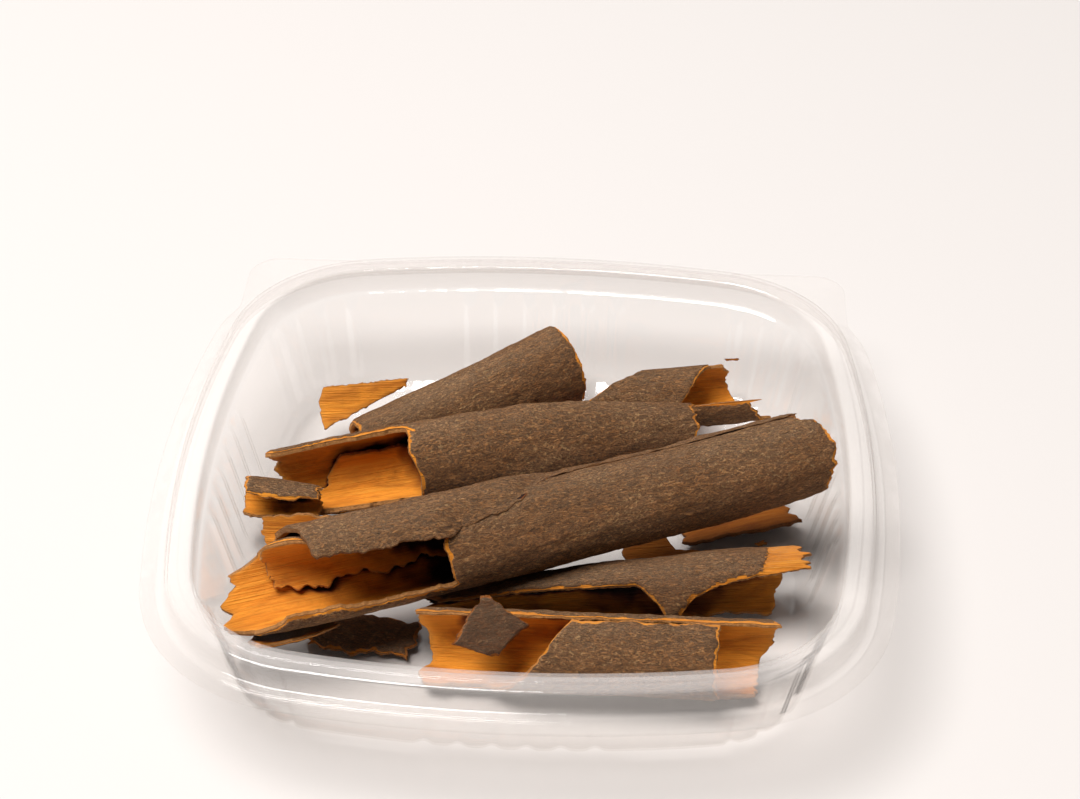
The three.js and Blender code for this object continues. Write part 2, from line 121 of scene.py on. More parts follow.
def lattice(ix, iy, seed):
    """A fixed pseudo-random value from -1 to 1 for each whole-number point."""
    n = ix.astype(np.int64) * 73856093 ^ iy.astype(np.int64) * 19349663 ^ seed * 83492791
    n = (n ^ (n >> 13)) * 1274126177 & 0x7FFFFFFF
    n = (n ^ (n >> 15)) & 0xFFFFF
    return n / 0x7FFFF - 1


def noise(x, y, seed):
    """Smooth noise with one bump per unit of x and y."""
    x, y = np.broadcast_arrays(np.asarray(x, float), np.asarray(y, float))
    ix, iy = np.floor(x), np.floor(y)
    fx, fy = x - ix, y - iy
    fx = fx * fx * (3 - 2 * fx)
    fy = fy * fy * (3 - 2 * fy)
    low = lerp(lattice(ix, iy, seed), lattice(ix + 1, iy, seed), fx)
    high = lerp(lattice(ix, iy + 1, seed), lattice(ix + 1, iy + 1, seed), fx)
    return lerp(low, high, fy)


def layered(x, y, seed, octaves=3):
    total = 0
    for octave in range(octaves):
        total = total + noise(x * 2**octave, y * 2**octave, seed + octave * 17) / 2**octave
    return total


def fray(x, seed, size):
    """Splinters: short sharp teeth of uneven length on a rough line."""
    chips = np.abs(noise(x * 0.55, 0.5, seed)) ** 3 * 2.2
    rough = 0.6 * noise(x * 0.22, 3.5, seed + 5) + 0.5 * noise(x * 1.7, 5.5, seed + 7)
    return size * (chips + rough + 0.25 * noise(x * 3.6, 7.5, seed + 9))


# ------------------------------------------------------------------ curled bark
# A piece of bark is a sheet curled about its own axis. Angles are in degrees round that
# axis: 0 faces the front, 90 faces up, 180 the back. A sheet may run over more than one
# turn. It is cut into bands side by side round the curl, each with its own start and stop
# along the axis; a band that is open 'before' or 'after' the split is missing there.


def sheet_points(sheet, s, angle, lift):
    """Points at distance s along the axis, at that angle, lifted off the middle surface."""
    turn = np.abs(angle - sheet["from"]) / 360
    taper = eased(s, sheet.get("taper", ((0, 1),)))
    radius = sheet["radius"] * taper + sheet.get("grow", 0) * turn + lift
    out = radius * np.cos(angle * RAD)
    up = radius * np.sin(angle * RAD) + sheet.get("bend", 0) * s * s
    yaw = sheet["yaw"] * RAD
    rise = sheet["rise"] * RAD
    level = s * math.cos(rise) - up * math.sin(rise)
    x = math.cos(yaw) * level + math.sin(yaw) * out
    y = math.sin(yaw) * level - math.cos(yaw) * out
    z = s * math.sin(rise) + up * math.cos(rise)
    return np.stack([x, y, z], axis=-1)


def bark_columns(sheet, seed):
    """Every column's band, share of the band, start, split and stop."""
    band_of, share, places = [], [], []
    place = 0.0
    for index, band in enumerate(sheet["bands"]):
        middle = np.array([(band["start"](0.5) + band["stop"](0.5)) / 2])
        swing = sheet["edges"][index + 1](middle) - sheet["edges"][index](middle)
        turn = abs(float(sheet["edges"][index](middle)[0]) - sheet["from"]) / 360
        arc = abs(float(swing[0])) * RAD * (sheet["radius"] + sheet.get("grow", 0) * turn)
        count = max(3, math.ceil(arc / sheet.get("cell", CELL)))
        last = index == len(sheet["bands"]) - 1
        for column in range(count + (1 if last else 0)):
            band_of.append(index)
            share.append(column / count)
            places.append(place + arc * column / count)
        place += arc
    band_of, share, places = np.array(band_of), np.array(share), np.array(places)
    start, stop = np.zeros(len(share)), np.zeros(len(share))
    for index, band in enumerate(sheet["bands"]):
        mine = band_of == index
        start[mine] = band["start"](share[mine])
        stop[mine] = band["stop"](share[mine])
    rough = sheet.get("end_fray", END_FRAY)
    start = start + fray(places, seed + 1, rough)
    stop = stop + fray(places, seed + 2, rough)
    split = start
    if "split" in sheet:
        split = sheet["split"](band_of, share) + fray(places, seed + 3, 0.4 * rough)
    return band_of, share, start, split, stop


def bark_grid(sheet, seed):
    """Distance along the axis, angle and presence of every cell of the sheet."""
    cell = sheet.get("cell", CELL)
    band_of, share, start, split, stop = bark_columns(sheet, seed)
    before = math.ceil(np.max(split - start) / cell) if "split" in sheet else 0
    after = math.ceil(np.max(stop - split) / cell)
    s = np.zeros((before + after + 1, len(share)))
    for row in range(before + after + 1):
        if row < before:
            s[row] = lerp(start, split, row / before)
        else:
            s[row] = lerp(split, stop, (row - before) / after)
    angle = np.zeros_like(s)
    spread = SIDE_FRAY / sheet["radius"] / RAD
    for index in range(len(sheet["bands"])):
        mine = band_of == index
        here = s[:, mine]
        first = sheet["edges"][index](here) + fray(here, seed + 20 + index, spread)
        last = sheet["edges"][index + 1](here) + fray(here, seed + 21 + index, spread)
        angle[:, mine] = lerp(first, last, share[mine])
    present = np.ones((s.shape[0] - 1, s.shape[1] - 1), bool)
    for index, band in enumerate(sheet["bands"]):
        mine = band_of[:-1] == index
        if band.get("open") == "before":
            present[:before, mine] = False
        if band.get("open") == "after":
            present[before:, mine] = False
    return s, angle, present


def edge_distance(present, cell):
    """For every grid point, how far the nearest edge of the sheet is, up to RIM_REACH."""
    rows, columns = present.shape
    whole = np.zeros((rows + 2, columns + 2), bool)
    whole[1:-1, 1:-1] = present
    full = whole[:-1, :-1] & whole[1:, :-1] & whole[:-1, 1:] & whole[1:, 1:]
    distance = np.where(full, RIM_REACH, 0.0)
    for _ in range(math.ceil(RIM_REACH / cell)):
        padded = np.pad(distance, 1, mode="edge")
        nearest = np.minimum.reduce([
            padded[:-2, 1:-1], padded[2:, 1:-1], padded[1:-1, :-2], padded[1:-1, 2:]])
        distance = np.minimum(distance, nearest + cell)
    return distance


def outer_relief(s, v, seed):
    """Wrinkles, shallow dents and grain of the outer bark, in millimetres."""
    dents = layered(s / 17, v / 9, seed, 2)
    warp = 1.2 * noise(s / 6, v / 5, seed + 60)
    folds = 1 - 2 * np.abs(noise(s / 7.5, (v + warp) / 1.7, seed + 31))
    creases = np.abs(noise((s + warp) / 3.4, (v + 0.5 * warp) / 1.3, seed + 37)) ** 0.6
    grain = layered(s / 2.6, v / 1.2, seed + 47, 2)
    return 0.25 * dents + 0.10 * folds + 0.16 * creases + 0.12 * grain - 0.18


def inner_relief(s, v, seed):
    """Long fibres of the inner bark, in millimetres."""
    dents = layered(s / 22, v / 6, seed + 3, 2)
    fibres = noise(s / 26, v / 1.3, seed + 53) + 0.5 * noise(s / 14, v / 0.7, seed + 59)
    return 0.18 * dents + 0.06 * fibres


def grid_faces(numbers, present, flip):
    """Quads over the present cells of a grid of vertex numbers."""
    a, b = numbers[:-1, :-1][present], numbers[1:, :-1][present]
    c, d = numbers[1:, 1:][present], numbers[:-1, 1:][present]
    return np.stack([a, d, c, b] if flip else [a, b, c, d], axis=-1)


def rim_edges(present):
    """The cell sides where the sheet ends, each as two grid points in turning order."""
    rows, columns = present.shape
    edges = []
    for row, col in zip(*np.nonzero(present)):
        if row == 0 or not present[row - 1, col]:
            edges.append(((row, col + 1), (row, col)))
        if row == rows - 1 or not present[row + 1, col]:
            edges.append(((row + 1, col), (row + 1, col + 1)))
        if col == 0 or not present[row, col - 1]:
            edges.append(((row, col), (row + 1, col)))
        if col == columns - 1 or not present[row, col + 1]:
            edges.append(((row + 1, col + 1), (row, col + 1)))
    return edges


def settled(sheet, s, angle):
    """How far the sheet's last edge has settled on the layer below: 1 at the edge, then less."""
    if "settle" not in sheet:
        return np.zeros_like(s)
    radius = sheet["radius"] + sheet["grow"]
    reach = np.abs(angle - sheet["edges"][-1](s)) * RAD * radius
    return (1 - smoothstep(reach, 0.5, 9)) * smoothstep(s, *sheet["settle_from"])


def bark_piece(name, sheet, seed):
    """Makes one piece of bark with its relief, broken edges and surface attributes."""
    cell = sheet.get("cell", CELL)
    s, angle, present = bark_grid(sheet, seed)
    rim = edge_distance(present, cell)
    v = angle * RAD * (sheet["radius"] + 0.5 * sheet.get("grow", 0))
    thickness = sheet.get("thickness", BARK)
    half = thickness / 2 * (0.72 + 0.28 * smoothstep(rim, 0, 1.4))
    half = half + 0.08 * noise(s / 9, v / 4, seed + 71)
    wave = 0.3 * layered(s / 34, angle / 75, seed + 83, 2) * sheet.get("wave", 1)
    lain = settled(sheet, s, angle)
    half = half * (1 - LAIN_THINNING * lain)
    wave = wave - sheet.get("settle", 0) * lain
    bare_width = sheet.get("bare", lambda s, v: 0.5 + 0 * s)(s, v)
    patchy = 0.45 * layered(s / 3.1, v / 1.6, seed + 90, 3)
    # where an edge is covered, the skin runs on right over it
    covered = np.maximum(lain, sheet.get("covered", lambda angle: 0 * angle)(angle))
    skin = smoothstep(rim - (bare_width + patchy) * (1 - covered), -0.15, 0.45)
    skin = np.maximum(skin, covered)
    relief = outer_relief(s, v, seed) * skin - SKIN_DEPTH * (1 - skin)
    outer = sheet_points(sheet, s, angle, wave + half + relief)
    inner = sheet_points(sheet, s, angle, wave - half + inner_relief(s, v, seed))

    # vertices: the outer grid, the inner grid, then the layers of the broken edge
    count = s.size
    numbers = np.arange(count).reshape(s.shape)
    points = [outer.reshape(-1, 3), inner.reshape(-1, 3)]
    uv = [np.stack([s, v], axis=-1).reshape(-1, 2)] * 2
    depth = [np.zeros(count), np.ones(count)]
    outer_quads = grid_faces(numbers, present, False)
    inner_quads = grid_faces(numbers + count, present, True)

    edges = rim_edges(present)
    on_rim = sorted({point for edge in edges for point in edge})
    layer_numbers = {}
    extra_points, extra_uv, extra_depth, extra_skin = [], [], [], []
    for row, col in on_rim:
        near_rows = slice(max(row - 1, 0), row + 2)
        near_cols = slice(max(col - 1, 0), col + 2)
        centre = outer[near_rows, near_cols].reshape(-1, 3).mean(axis=0)
        away = outer[row, col] - centre
        length = np.linalg.norm(away)
        away = away / length if length > 1e-6 else away
        for layer in range(1, WALL_LAYERS):
            share = layer / WALL_LAYERS
            place = lerp(outer[row, col], inner[row, col], share)
            push = 0.3 * float(noise(s[row, col] * 1.3 + v[row, col] * 1.1, layer * 3.3, seed + 5))
            layer_numbers[row, col, layer] = 2 * count + len(extra_points)
            extra_points.append(place + away * (0.12 + push))
            extra_uv.append((s[row, col], v[row, col] + share * thickness))
            extra_depth.append(share)
            extra_skin.append(covered[row, col])
    points.append(np.array(extra_points))
    uv.append(np.array(extra_uv))
    depth.append(np.array(extra_depth))

    def number(point, layer):
        if layer == 0:
            return int(numbers[point])
        if layer == WALL_LAYERS:
            return int(numbers[point]) + count
        return layer_numbers[point[0], point[1], layer]

    wall_quads = []
    for first, second in edges:
        for layer in range(WALL_LAYERS):
            wall_quads.append((number(second, layer), number(first, layer),
                               number(first, layer + 1), number(second, layer + 1)))

    quads = np.concatenate([outer_quads, inner_quads, np.array(wall_quads)])
    kinds = [0] * len(outer_quads) + [1] * len(inner_quads) + [2] * len(wall_quads)
    points = np.concatenate(points)
    fields = {
        "depth": np.concatenate(depth),
        "skin": np.concatenate([skin.ravel(), covered.ravel(), np.array(extra_skin)]),
        "rim": np.concatenate([rim.ravel(), rim.ravel(), np.zeros(len(extra_points))]),
        # tone darkens a whole piece: painted shade for the splinters and the floor flake, which lie in
        # shadow; it also darkens shell_front and flake_top
        "tone": np.full(len(points), sheet.get("tone", 1.0)),
    }
    return finish_bark(name, sheet, points, quads, kinds, np.concatenate(uv), fields, seed)


def finish_bark(name, sheet, points, quads, kinds, uv, fields, seed):
    """Drops unused points, places the piece by its CAD node and makes the object."""
    used = np.zeros(len(points), bool)
    used[quads.ravel()] = True
    renumber = np.cumsum(used) - 1
    quads = renumber[quads]
    low, high = (np.array(corner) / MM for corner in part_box(name))
    origin = (low + high) / 2 + np.array(sheet["from_centre"])
    points = (points[used] + origin) * MM
    if volume_sign(points, quads) < 0:
        quads = quads[:, ::-1]
    mesh = bpy.data.meshes.new(name + "_bark")
    mesh.from_pydata(points.tolist(), [], quads.tolist())
    mesh.polygons.foreach_set("material_index", kinds)
    mesh.polygons.foreach_set("use_smooth", [True] * len(quads))
    loops = np.zeros(len(mesh.loops), int)
    mesh.loops.foreach_get("vertex_index", loops)
    layer = mesh.uv_layers.new(name="bark")
    shifted = uv[used] + np.array([seed * 37.0, seed * 91.0])
    layer.data.foreach_set("uv", shifted[loops].ravel())
    for field, values in fields.items():
        attribute = mesh.attributes.new(field, "FLOAT", "POINT")
        attribute.data.foreach_set("value", values[used])
    mesh.update()
    mesh.set_sharp_from_angle(angle=55 * RAD)
    piece = bpy.data.objects.new(name + "_bark", mesh)
    bpy.context.scene.collection.objects.link(piece)
    for material in (OUTER_BARK, INNER_BARK, BROKEN_BARK):
        mesh.materials.append(material)
    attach(piece, "root")
    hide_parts(name)
    return piece


def volume_sign(points, quads):
    a, b, c, d = (points[quads[:, i]] for i in range(4))
    cross = np.cross(b - a, c - a) + np.cross(c - a, d - a)
    return float(np.sum(a * cross))

# ------------------------------------------------------------------ materials


class Nodes:
    """A small wrapper that adds and links shader nodes."""

    def __init__(self, name):
        self.material = bpy.data.materials.new(name)
        self.material.use_nodes = True
        self.tree = self.material.node_tree
        self.tree.nodes.clear()

    def add(self, kind, settings=None, **inputs):
        node = self.tree.nodes.new("ShaderNode" + kind)
        for key, value in (settings or {}).items():
            setattr(node, key, value)
        for key, value in inputs.items():
            self.set(node, key.replace("_", " "), value)
        return node

    def set(self, node, key, value):
        socket = node.inputs[int(key[1:])] if key[0] == "#" else node.inputs[key]
        if isinstance(value, bpy.types.NodeSocket):
            self.tree.links.new(value, socket)
        else:
            socket.default_value = value

    def math(self, operation, a, b=0.0, clamp=False):
        node = self.add("Math", {"operation": operation, "use_clamp": clamp})
        self.set(node, "#0", a)
        self.set(node, "#1", b)
        return node.outputs[0]

    def mix(self, share, a, b):
        node = self.add("Mix", {"data_type": "RGBA"})
        self.set(node, "#0", share)
        self.set(node, "#6", a)
        self.set(node, "#7", b)
        return node.outputs[2]

    def tinted(self, colour, mask, share, tint):
        """The colour with a tint laid over it where the mask is, as strongly as share."""
        return self.mix(self.math("MULTIPLY", mask, share), colour, (*tint, 1))

    def ramp(self, value, stops):
        node = self.add("ValToRGB")
        self.set(node, "Fac", value)
        elements = node.color_ramp.elements
        while len(elements) < len(stops):
            elements.new(0.5)
        for element, (place, colour) in zip(elements, stops):
            element.position = place
            element.color = grey(colour) if isinstance(colour, (int, float)) else (*colour, 1)
        return node.outputs["Color"]

    def stretched(self, along_s, along_v, shift=0.0):
        """The bark's own coordinates in millimetres, scaled along and across the curl."""
        source = self.add("UVMap", {"uv_map": "bark"})
        node = self.add("Mapping")
        self.set(node, "Vector", source.outputs["UV"])
        self.set(node, "Scale", (along_s, along_v, 1))
        self.set(node, "Location", (shift, shift * 1.7, shift * 0.3))
        return node.outputs["Vector"]

    def noise(self, vector, scale=1.0, detail=4.0, roughness=0.5, distortion=0.0):
        node = self.add("TexNoise")
        self.set(node, "Vector", vector)
        self.set(node, "Scale", scale)
        self.set(node, "Detail", detail)
        self.set(node, "Roughness", roughness)
        self.set(node, "Distortion", distortion)
        return node.outputs["Fac"]

    def field(self, name):
        return self.add("Attribute", {"attribute_name": name}).outputs["Fac"]

    def bump(self, height, distance, strength=1.0):
        node = self.add("Bump")
        self.set(node, "Height", height)
        self.set(node, "Distance", distance)
        self.set(node, "Strength", strength)
        return node.outputs["Normal"]

    def surface(self, shader):
        output = self.add("OutputMaterial")
        self.tree.links.new(shader, output.inputs["Surface"])
        return self.material


def grey(value):
    return (value, value, value, 1)


FIBRE_STOPS = ((0.28, (0.72, 0.215, 0.013)), (0.5, (0.90, 0.31, 0.024)), (0.74, (0.95, 0.42, 0.05)))
SKIN_STOPS = ((0.33, (0.042, 0.015, 0.0045)), (0.45, (0.265, 0.102, 0.030)),
              (0.57, (0.51, 0.210, 0.066)), (0.72, (0.88, 0.48, 0.18)))


def fibre_colour(n):
    """Golden-brown inner bark: fine long fibres, broad darker stains and small dark specks."""
    fibres = n.noise(n.stretched(0.045, 2.6), detail=8, roughness=0.62)
    colour = n.ramp(fibres, FIBRE_STOPS)
    stains = n.noise(n.stretched(0.05, 0.14, 9), detail=6, roughness=0.62, distortion=1.2)
    dark = n.ramp(stains, ((0.44, 0.0), (0.68, 1.0)))
    colour = n.tinted(colour, dark, 0.62, (0.34, 0.082, 0.004))
    streaks = n.noise(n.stretched(0.022, 0.9, 31), detail=5, roughness=0.7, distortion=0.4)
    streak = n.ramp(streaks, ((0.60, 0.0), (0.70, 1.0)))
    colour = n.tinted(colour, streak, 0.5, (0.30, 0.07, 0.004))
    specks = n.noise(n.stretched(1.3, 2.6, 43), detail=3, roughness=0.6)
    speck = n.ramp(specks, ((0.70, 0.0), (0.76, 1.0)))
    colour = n.tinted(colour, speck, 0.55, (0.16, 0.04, 0.004))
    return colour, fibres


def skin_colour(n):
    """Grey-brown outer bark: dark creases, tan ridges, golden flecks and rusty patches."""
    wrinkles = n.noise(n.stretched(0.46, 1.45), detail=9, roughness=0.7, distortion=1.3)
    colour = n.ramp(wrinkles, SKIN_STOPS)
    patches = n.noise(n.stretched(0.07, 0.13, 4), detail=4, roughness=0.55)
    rusty = n.ramp(patches, ((0.52, 0.0), (0.72, 1.0)))
    colour = n.tinted(colour, rusty, 0.42, (0.29, 0.105, 0.036))
    bloom = n.noise(n.stretched(0.05, 0.085, 61), detail=5, roughness=0.6)
    grey_bloom = n.ramp(bloom, ((0.47, 0.0), (0.70, 1.0)))
    colour = n.tinted(colour, grey_bloom, 0.48, (0.50, 0.262, 0.128))
    network = n.noise(n.stretched(0.50, 1.25, 71), detail=4, roughness=0.6, distortion=1.8)
    away = n.math("ABSOLUTE", n.math("SUBTRACT", network, 0.5))
    crease = n.ramp(away, ((0.0, 1.0), (0.065, 0.0)))
    colour = n.tinted(colour, crease, 0.88, (0.045, 0.0185, 0.0075))
    grain = n.noise(n.stretched(2.1, 3.4, 2), detail=5, roughness=0.7)
    flecks = n.noise(n.stretched(0.8, 1.3, 13), detail=5, roughness=0.7)
    pale = n.ramp(n.math("ADD", flecks, n.math("MULTIPLY", grain, 0.3)), ((0.70, 0.0), (0.82, 1.0)))
    gathered = n.ramp(bloom, ((0.42, 0.2), (0.60, 0.9)))
    colour = n.tinted(colour, pale, gathered, (0.92, 0.54, 0.22))
    height = n.math("ADD", wrinkles, n.math("MULTIPLY", grain, 0.4))
    height = n.math("SUBTRACT", height, n.math("MULTIPLY", crease, 0.22))
    return colour, height


def shaded_by_sky(n, colour, least, low, high):
    """Painted shade: the colour darkened towards the share 'least' of itself where little sky is seen."""
    sky = n.add("MapRange", {"interpolation_type": "SMOOTHSTEP"})
    n.set(sky, "Value", n.field("sky"))
    n.set(sky, "From Min", low)
    n.set(sky, "From Max", high)
    n.set(sky, "To Min", least)
    n.set(sky, "To Max", 1.0)
    # the piece's tone darkens it further, in part as painted shade
    share = n.math("MULTIPLY", sky.outputs["Result"], n.field("tone"))
    warm = n.math("POWER", share, 0.8)
    shade_colour = n.add("CombineColor")
    n.set(shade_colour, "Red", warm)
    n.set(shade_colour, "Green", share)
    n.set(shade_colour, "Blue", share)
    node = n.add("Mix", {"data_type": "RGBA", "blend_type": "MULTIPLY"})
    n.set(node, "#0", 1.0)
    n.set(node, "#6", colour)
    n.set(node, "#7", shade_colour.outputs["Color"])
    return node.outputs[2]


def outer_bark():
    n = Nodes("outer_bark")
    skin, height = skin_colour(n)
    fibre, fibres = fibre_colour(n)
    edge = n.noise(n.stretched(1.6, 2.6, 21), detail=4, roughness=0.6)
    shown = n.math("ADD", n.field("skin"), n.math("MULTIPLY", n.math("SUBTRACT", edge, 0.5), 0.8))
    shown = n.ramp(shown, ((0.42, 0.0), (0.55, 1.0)))
    colour = n.mix(shown, fibre, skin)
    relief = n.mix(shown, n.math("MULTIPLY", fibres, 0.5), height)
    shader = n.add("BsdfPrincipled")
    # painted shade: the outer bark darkened down to 0.4 of its colour where it sees little sky
    n.set(shader, "Base Color", shaded_by_sky(n, colour, 0.4, 0.05, 0.5))
    n.set(shader, "Roughness", 0.86)
    n.set(shader, "Specular IOR Level", 0.2)
    n.set(shader, "Sheen Weight", 0.25)
    n.set(shader, "Sheen Roughness", 0.5)
    n.set(shader, "Sheen Tint", (1.0, 0.68, 0.42, 1))
    n.set(shader, "Normal", n.bump(relief, 0.0023))
    return n.surface(shader.outputs[0])


def inner_bark():
    n = Nodes("inner_bark")
    colour, fibres = fibre_colour(n)
    near = n.ramp(n.math("DIVIDE", n.field("rim"), RIM_REACH), ((0.0, 1.0), (0.25, 0.0)))
    colour = n.tinted(colour, near, 0.35, (0.66, 0.27, 0.05))
    fine = n.noise(n.stretched(0.4, 5.5, 5), detail=4, roughness=0.6)
    height = n.math("ADD", fibres, n.math("MULTIPLY", fine, 0.3))
    shader = n.add("BsdfPrincipled")
    # painted shade: the inner bark darkened almost to black deep in hollows that see little sky
    n.set(shader, "Base Color", shaded_by_sky(n, colour, 0.006, 0.10, 0.27))
    n.set(shader, "Roughness", 0.7)
    n.set(shader, "Specular IOR Level", 0.3)
    n.set(shader, "Normal", n.bump(height, 0.0006))
    return n.surface(shader.outputs[0])


def broken_bark():
    n = Nodes("broken_bark")
    grain = n.noise(n.stretched(1.4, 3.2), detail=6, roughness=0.65)
    colour = n.ramp(grain, ((0.3, (0.30, 0.11, 0.025)), (0.5, (0.58, 0.25, 0.075)),
                            (0.72, (0.82, 0.45, 0.17))))
    skin = n.ramp(n.field("depth"), ((0.08, 1.0), (0.3, 0.0)))
    skin = n.math("MAXIMUM", skin, n.field("skin"))
    colour = n.tinted(colour, skin, 0.8, (0.125, 0.055, 0.024))
    shader = n.add("BsdfPrincipled")
    # painted shade: broken edges darkened where they see little sky
    n.set(shader, "Base Color", shaded_by_sky(n, colour, 0.25, 0.02, 0.3))
    n.set(shader, "Roughness", 0.85)
    n.set(shader, "Specular IOR Level", 0.25)
    n.set(shader, "Normal", n.bump(grain, 0.0008))
    return n.surface(shader.outputs[0])


def clear_plastic():
    """Thin clear sheet: see-through and glossy, with a white diffuse layer as strong as the
    haze_and_reflection attribute says, partly cloudiness and partly painted reflection of the bright
    surroundings.
    """
    n = Nodes("clear_plastic")
    weight = n.add("LayerWeight")
    n.set(weight, "Blend", 0.5)
    facing = weight.outputs["Facing"]
    clear = n.add("BsdfTransparent")
    n.set(clear, "Color", n.ramp(facing, ((0.5, (0.99, 0.985, 0.981)), (1.0, (0.95, 0.94, 0.93)))))
    gloss = n.add("BsdfGlossy")
    n.set(gloss, "Color", (1, 1, 1, 1))
    n.set(gloss, "Roughness", 0.1)
    ripple = n.add("TexNoise")
    place = n.add("TexCoord")
    n.set(ripple, "Vector", place.outputs["Object"])
    n.set(ripple, "Scale", 90.0)
    n.set(ripple, "Detail", 2.0)
    n.set(gloss, "Normal", n.bump(ripple.outputs["Fac"], 0.0004))
    grazing = n.math("POWER", facing, 4.0)
    mirror = n.math("ADD", n.math("MULTIPLY", grazing, 0.22), 0.04)
    seen = n.add("MixShader")
    n.set(seen, "#0", mirror)
    n.set(seen, "#1", clear.outputs[0])
    n.set(seen, "#2", gloss.outputs[0])
    # the white diffuse layer: a little cloudiness, the rest painted reflection
    haze_and_reflection = n.add("BsdfDiffuse")
    n.set(haze_and_reflection, "Color", (0.92, 0.87, 0.84, 1))
    mix = n.add("MixShader")
    n.set(mix, "#0", n.field("haze_and_reflection"))
    n.set(mix, "#1", seen.outputs[0])
    n.set(mix, "#2", haze_and_reflection.outputs[0])
    return n.surface(mix.outputs[0])


OUTER_BARK = outer_bark()
INNER_BARK = inner_bark()
BROKEN_BARK = broken_bark()
CLEAR_PLASTIC = clear_plastic()

# ------------------------------------------------------------------ the pieces of bark
# from_centre is where a piece's axis passes, seen from the middle of its CAD node's box.


LONG_QUILL_END = ((0, -62), (0.12, -64.5), (0.2, -70), (0.29, -69), (0.38, -74.5), (0.47, -76),
                  (0.55, -73), (0.63, -75.5), (0.75, -71), (0.84, -71.5), (0.92, -65), (1, -63))


def long_quill():
    """The long quill on top: its left front is torn open over the layer inside."""
    return {
        "from_centre": (-0.62, -1.96, -0.43),
        "yaw": 21.6, "rise": 2.4, "radius": 8.3, "grow": 2.6, "from": 240, "bend": 0.00027,
        "settle": 1.45, "settle_from": (-25, -18),
        "covered": lambda angle: 0.85 * smoothstep(-angle, 195, 225),
        "taper": ((-75, 1.026), (75, 0.935)),
        "split": lambda band, share: -22 + torn(share * 9, 2, 1.5),
        "edges": (
            lambda s: 236 + torn(s, 1, 12),
            flat(92),
            lambda s: along(s, ((-72, -8), (-24, -28))) + torn(s * 0.45, 3, 5) + torn(s * 2.6, 8, 1.3),
            flat(-190),
            lambda s: eased(s, ((-60, -300), (-22, -308), (-4, -286), (8, -238), (75, -236)), 2)
            + torn(s, 4, 3)),
        "bands": (
            {"start": lambda t: along(t, ((0, -62), (0.6, -64), (1, -53))), "stop": flat(70)},
            {"start": flat(-53), "stop": lambda t: along(t, ((0, 73), (0.4, 75.5), (1, 72.5))),
             "open": "before"},
            {"start": lambda t: along(t, LONG_QUILL_END),
             "stop": lambda t: along(t, ((0, 72.5), (0.3, 64), (0.6, 66), (1, 70)))},
            {"start": sloped(-60, -53, 6, 1.5), "stop": uneven(71, 8, 1.2)}),
    }


def middle_quill():
    """The quill behind it, rolled the other way, its outer layer reaching over as a lip."""
    return {
        "from_centre": (2.65, -0.89, -0.46),
        "yaw": 19.6, "rise": -2.5, "radius": 6.6, "grow": 2.6, "from": 125, "bend": -0.0005,
        "taper": ((-60, 0.973), (-10, 1.135), (14, 1.162), (54, 0.458)),
        "split": lambda band, share: -23 + torn(share * 9, 12, 2),
        "edges": (
            lambda s: 170 + torn(s, 11, 5),
            lambda s: 312 + torn(s, 13, 8),
            lambda s: eased(s, ((-25, 476), (-19, 440)), 1) + torn(s, 14, 4),
            flat(590)),
        "bands": (
            {"start": sloped(-40, -53, 15, 2), "stop": flat(52)},
            {"start": flat(-50), "stop": uneven(53, 16, 1.5), "open": "before"},
            {"start": sloped(-58, -54, 17, 1.5), "stop": uneven(53, 18, 1.5)}),
    }


def small_curl():
    """The small curl at the far left, its hollow open to the front."""
    return {
        "from_centre": (-0.14, -0.88, -0.42),
        "yaw": 1, "rise": -3, "radius": 5.2, "from": 50, "thickness": THIN_BARK, "cell": 0.45,
        "taper": ((-9, 1), (9, 0.7)),
        "edges": (lambda s: 48 + torn(s, 21, 10), lambda s: 292 + torn(s, 22, 8)),
        "bands": ({"start": uneven(-8.7, 23, 1), "stop": uneven(9.5, 24, 1)},),
    }


def left_trough():
    """A shallow trough on the floor under the left end."""
    return {
        "from_centre": (0.34, -5, 4.74),
        "yaw": 3, "rise": 0, "radius": 11.2, "from": 170, "thickness": THIN_BARK,
        "edges": (lambda s: 172 + torn(s, 31, 6), lambda s: 278 + torn(s, 32, 5)),
        "bands": ({"start": uneven(-21, 33, 1.2), "stop": uneven(20, 34, 2)},),
    }


def back_flake():
    """The three-cornered flake behind, its inner face to the front."""
    return {
        "from_centre": (7.65, -23.1, 20.23),
        "yaw": 12, "rise": -4, "radius": 32, "from": 170, "thickness": THIN_BARK, "cell": 0.45,
        "wave": 0.4,
        "edges": (lambda s: along(s, ((-12, 212), (12, 209))),
                  lambda s: along(s, ((-12, 232), (12, 211)))),
        "bands": ({"start": uneven(-12, 35, 0.6), "stop": flat(10.5)},),
    }


def back_quill():
    """The cone-shaped quill at the back, rolled shut."""
    return {
        "from_centre": (-0.78, -2.27, -2.71),
        "yaw": 31.5, "rise": 5, "radius": 8.55, "grow": 2.3, "from": 150,
        "taper": ((-32, 0.505), (31, 1.02)), "end_fray": 0.45,
        "edges": (lambda s: 150 + torn(s, 41, 4), lambda s: 584 + torn(s, 42, 4)),
        "bands": ({"start": uneven(-31, 43, 1.5), "stop": uneven(30.5, 44, 0.8)},),
    }


def right_quill():
    """The quill at the back right, its front torn away at the right end."""
    return {
        "from_centre": (0.54, 1.27, 0.02),
        "yaw": 11.5, "rise": 0.6, "radius": 7.6, "from": 0, "thickness": THIN_BARK,
        "split": lambda band, share: lerp(2, 13, share),
        "edges": (lambda s: -46 + torn(s, 51, 6), flat(20), flat(128),
                  lambda s: 262 + torn(s, 52, 6)),
        "bands": (
            {"start": uneven(-30, 53, 2), "stop": sloped(27, 20, 57, 1)},
            {"start": sloped(-27, -6, 54, 1.5), "stop": flat(24), "open": "after"},
            {"start": sloped(-6, -14, 55, 2), "stop": sloped(15.5, 21, 56, 0.8)}),
    }


